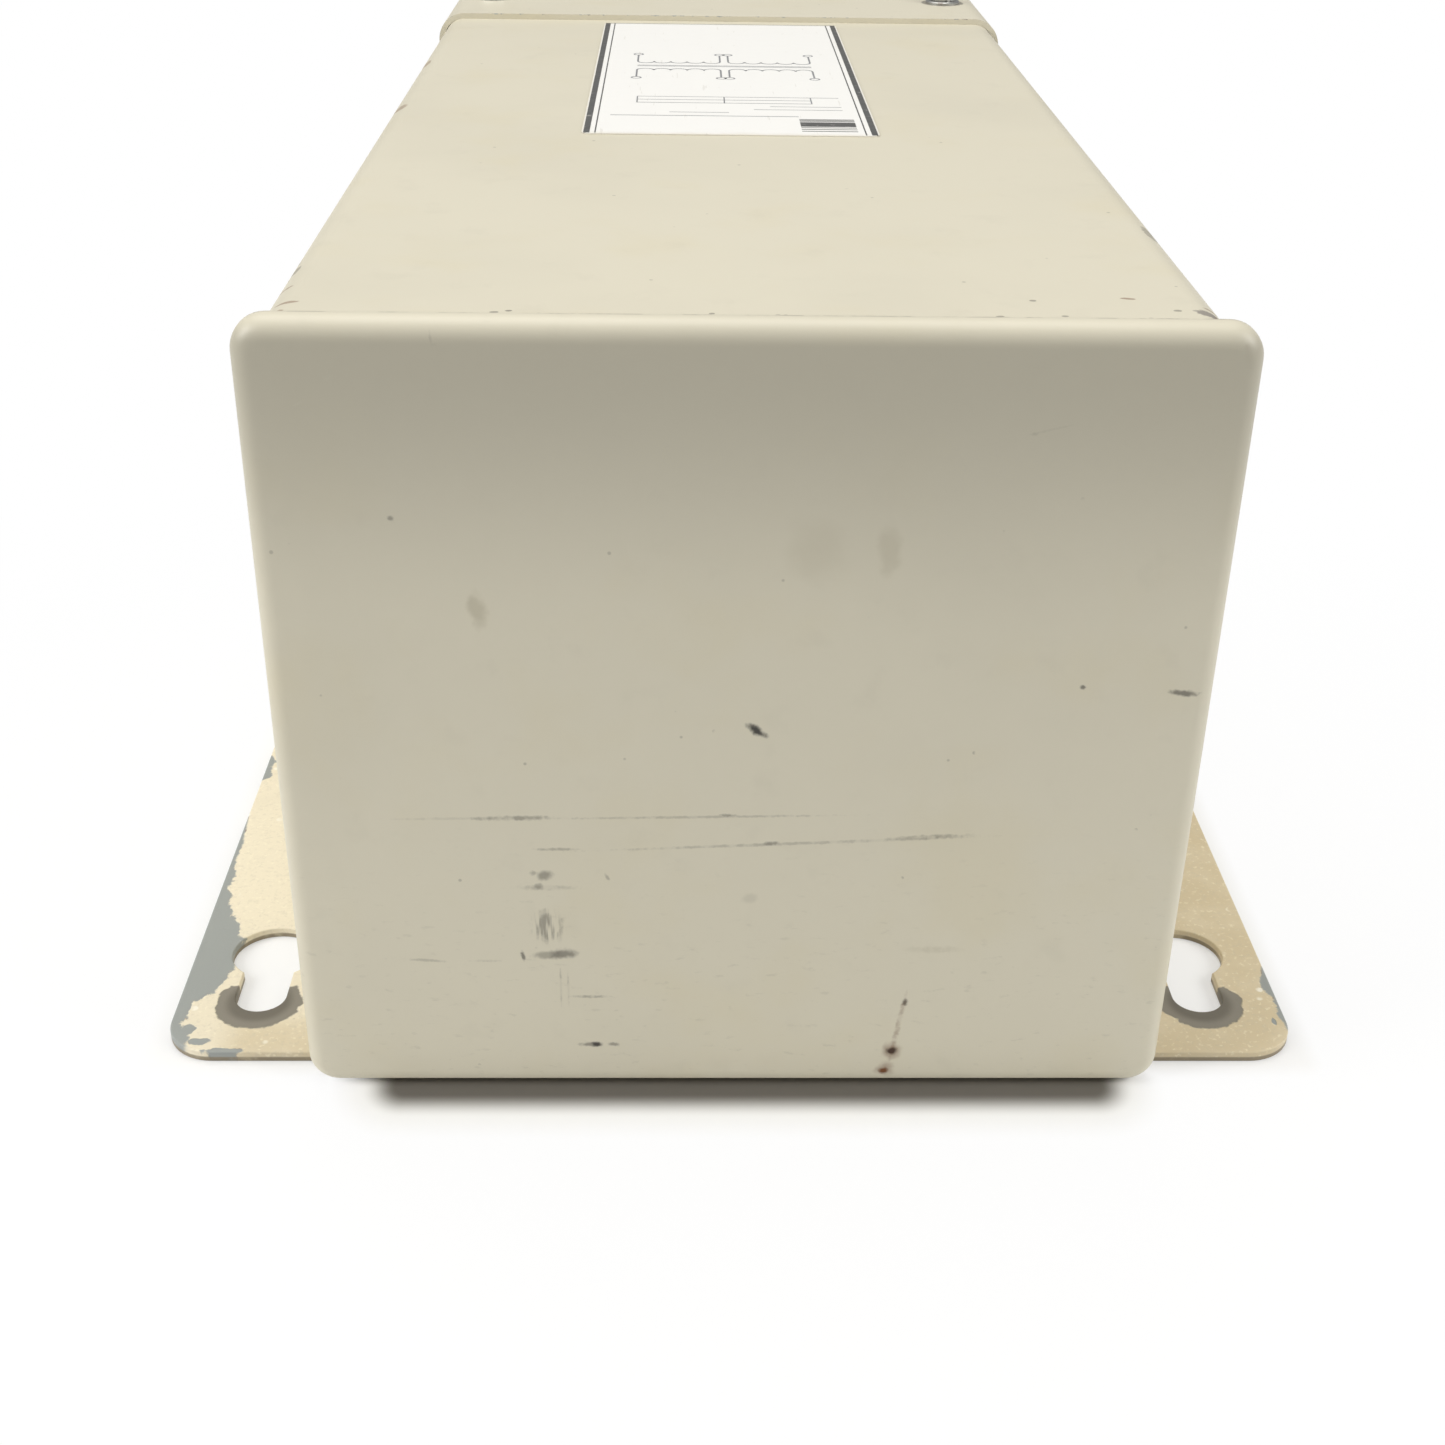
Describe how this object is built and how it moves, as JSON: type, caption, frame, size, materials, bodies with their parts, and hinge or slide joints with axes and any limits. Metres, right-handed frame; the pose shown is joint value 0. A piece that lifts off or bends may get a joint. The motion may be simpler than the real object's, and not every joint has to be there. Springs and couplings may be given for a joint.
{
  "type": "encapsulated dry-type transformer",
  "caption": "Wall-mounted encapsulated transformer: a deep painted steel box on a keyholed mounting plate, with a screwed wiring cover over its terminals.",
  "frame": {"origin": "centre of the mounting face, on the underside of the mounting plate", "axes": "+X the width, +Y from the top end cap to the wiring end, +Z out of the front"},
  "size_m": [0.227, 0.38, 0.1566],
  "materials": {
    "painted_steel": "aged semi-gloss beige-grey enamel",
    "plated_steel": "zinc plated",
    "green_steel": "green dyed zinc plate",
    "label": "printed satin film",
    "potting": "matte sand and resin casting",
    "lamination": "edges of stamped silicon steel",
    "former": "moulded glass-filled nylon",
    "copper": "enamelled copper",
    "insulation": "varnished paper",
    "red_lead": "satin wire insulation",
    "black_lead": "satin wire insulation",
    "board": "paper laminate",
    "bushing": "moulded",
    "phenolic": "moulded phenolic",
    "brass": "stamped"
  },
  "bodies": {
    "enclosure": {"end_cap": "painted_steel", "body_shell": "painted_steel", "back_plate": "painted_steel", "nameplate": "label", "wiring_end_plate": "painted_steel", "cover_nut_plates": "plated_steel", "potting_compound": "potting", "core_e_stack": "lamination", "core_i_stack": "lamination", "core_clamp_bars": "plated_steel", "core_bolts": "plated_steel", "core_nuts": "plated_steel", "coil_former": "former", "secondary_winding": "copper", "winding_insulation": "insulation", "primary_winding": "copper", "coil_wrap": "insulation", "primary_leads": "red_lead", "secondary_leads": "black_lead", "barrier_board": "board", "lead_bushings": "bushing", "terminal_block": "phenolic", "terminal_block_screws": "plated_steel", "terminal_bars": "brass", "terminal_washers": "plated_steel", "terminal_screws": "plated_steel", "ground_boss": "plated_steel", "ground_lug": "copper"},
    "wiring_cover": {"wiring_cover": "painted_steel"},
    "cover_screw_1": {"cover_screw_1": "plated_steel"},
    "cover_screw_2": {"cover_screw_2": "plated_steel"},
    "cover_screw_3": {"cover_screw_3": "plated_steel"},
    "cover_screw_4": {"cover_screw_4": "plated_steel"},
    "ground_screw": {"ground_screw": "green_steel"},
    "ground_clamp_screw": {"ground_clamp_screw": "plated_steel"},
    "knockout_end": {"knockout_end": "painted_steel"},
    "knockout_left": {"knockout_left": "painted_steel"},
    "knockout_right": {"knockout_right": "painted_steel"}
  },
  "joints": [
    {"name": "cover_lift", "type": "slide", "parent": "enclosure", "child": "wiring_cover", "axis": [0, 0, 1], "range_m": [0, 0.06]},
    {"name": "cover_screw_1_turn", "type": "hinge", "parent": "wiring_cover", "child": "cover_screw_1", "pos_m": [-0.069, 0.14, 0.1525], "axis": [0, 0, 1], "continuous": true},
    {"name": "cover_screw_2_turn", "type": "hinge", "parent": "wiring_cover", "child": "cover_screw_2", "pos_m": [0.069, 0.14, 0.1525], "axis": [0, 0, 1], "continuous": true},
    {"name": "cover_screw_3_turn", "type": "hinge", "parent": "wiring_cover", "child": "cover_screw_3", "pos_m": [-0.069, 0.1695, 0.1525], "axis": [0, 0, 1], "continuous": true},
    {"name": "cover_screw_4_turn", "type": "hinge", "parent": "wiring_cover", "child": "cover_screw_4", "pos_m": [0.069, 0.1695, 0.1525], "axis": [0, 0, 1], "continuous": true},
    {"name": "ground_screw_turn", "type": "hinge", "parent": "enclosure", "child": "ground_screw", "pos_m": [-0.0502, 0.152, 0.0138], "axis": [0, 0, 1], "continuous": true},
    {"name": "ground_clamp_turn", "type": "hinge", "parent": "enclosure", "child": "ground_clamp_screw", "pos_m": [-0.0502, 0.165, 0.0238], "axis": [0, 0, 1], "continuous": true},
    {"name": "knockout_end_push", "type": "slide", "parent": "enclosure", "child": "knockout_end", "axis": [0, 1, 0], "range_m": [0, 0.02]},
    {"name": "knockout_left_push", "type": "slide", "parent": "enclosure", "child": "knockout_left", "axis": [-1, 0, 0], "range_m": [0, 0.02]},
    {"name": "knockout_right_push", "type": "slide", "parent": "enclosure", "child": "knockout_right", "axis": [1, 0, 0], "range_m": [0, 0.02]}
  ]
}
